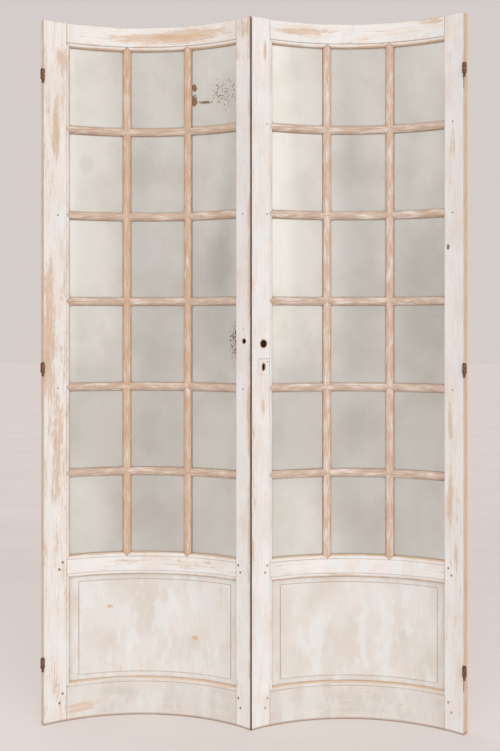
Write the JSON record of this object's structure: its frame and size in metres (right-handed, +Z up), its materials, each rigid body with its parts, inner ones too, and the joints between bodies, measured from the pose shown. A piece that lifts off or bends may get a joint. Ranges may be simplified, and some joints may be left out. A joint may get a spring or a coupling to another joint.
{
  "type": "french doors",
  "caption": "Pair of bowed french door leaves with mirror panes in a glazing-bar grid over solid panels, on lift-off pin hinges, worn white paint.",
  "frame": {"origin": "floor level, midway between the two leaves and halfway through their depth", "axes": "+X to the viewer's right, +Y away from the viewer (the leaves bow that way), +Z up"},
  "size_m": [1.476, 0.191, 2.45],
  "materials": {
    "painted_wood": "old off-white paint, chalky, worn to bare pine at the edges",
    "worn_bars": "pine with most of its paint worn away",
    "mirror_glass": "old silvered glass, foxed in places",
    "putty": "dry linseed putty",
    "peg_wood": "end grain, darkened",
    "rusted_iron": "rusted",
    "lock_iron": "dull, lightly rusted"
  },
  "bodies": {
    "hinge_pins": {"left_hinge_pins": "rusted_iron", "right_hinge_pins": "rusted_iron"},
    "left_leaf": {"left_hinge_stile": "painted_wood", "left_meeting_stile": "painted_wood", "left_top_rail": "painted_wood", "left_lock_rail": "painted_wood", "left_bottom_rail": "painted_wood", "left_panel": "painted_wood", "left_upright_bar_1": "worn_bars", "left_upright_bar_2": "worn_bars", "left_cross_bar_1": "worn_bars", "left_cross_bar_2": "worn_bars", "left_cross_bar_3": "worn_bars", "left_cross_bar_4": "worn_bars", "left_cross_bar_5": "worn_bars", "left_mirrors_1": "mirror_glass", "left_mirrors_2": "mirror_glass", "left_mirrors_3": "mirror_glass", "left_mirrors_4": "mirror_glass", "left_mirrors_5": "mirror_glass", "left_mirrors_6": "mirror_glass", "left_putty": "putty", "left_pegs": "peg_wood", "left_hinge_bottom": "rusted_iron", "left_hinge_middle": "rusted_iron", "left_hinge_top": "rusted_iron"},
    "right_leaf": {"right_hinge_stile": "painted_wood", "right_meeting_stile": "painted_wood", "right_top_rail": "painted_wood", "right_lock_rail": "painted_wood", "right_bottom_rail": "painted_wood", "right_panel": "painted_wood", "right_upright_bar_1": "worn_bars", "right_upright_bar_2": "worn_bars", "right_cross_bar_1": "worn_bars", "right_cross_bar_2": "worn_bars", "right_cross_bar_3": "worn_bars", "right_cross_bar_4": "worn_bars", "right_cross_bar_5": "worn_bars", "right_mirrors_1": "mirror_glass", "right_mirrors_2": "mirror_glass", "right_mirrors_3": "mirror_glass", "right_mirrors_4": "mirror_glass", "right_mirrors_5": "mirror_glass", "right_mirrors_6": "mirror_glass", "right_putty": "putty", "right_pegs": "peg_wood", "right_hinge_bottom": "rusted_iron", "right_hinge_middle": "rusted_iron", "right_hinge_top": "rusted_iron", "right_keyhole_patch": "painted_wood", "right_lock_case": "lock_iron", "right_lock_cap": "lock_iron", "right_lock_screws": "lock_iron"},
    "follower": {"right_follower": "lock_iron"},
    "latch": {"right_latch": "lock_iron"},
    "dead_bolt": {"right_dead_bolt": "lock_iron"}
  },
  "joints": [
    {"name": "left_leaf_swing", "type": "hinge", "parent": "hinge_pins", "child": "left_leaf", "pos_m": [-0.7235, -0.088, 0], "axis": [0, 0, -1], "range_deg": [0, 110]},
    {"name": "right_leaf_swing", "type": "hinge", "parent": "hinge_pins", "child": "right_leaf", "pos_m": [0.7235, -0.088, 0], "axis": [0, 0, 1], "range_deg": [0, 110]},
    {"name": "follower_turn", "type": "hinge", "parent": "right_leaf", "child": "follower", "pos_m": [0.04111, -0.04934, 1.325], "axis": [-0.6091, 0.7931, 0], "range_deg": [0, 26]},
    {"name": "latch_slide", "type": "slide", "parent": "right_leaf", "child": "latch", "axis": [-0.7931, -0.6091, 0], "range_m": [0, 0.012]},
    {"name": "dead_bolt_slide", "type": "slide", "parent": "right_leaf", "child": "dead_bolt", "axis": [-0.7931, -0.6091, 0], "range_m": [0, 0.014]}
  ],
  "couplings": [
    {"joint": "latch_slide", "follows": "follower_turn", "m_per_rad": 0.026442}
  ]
}
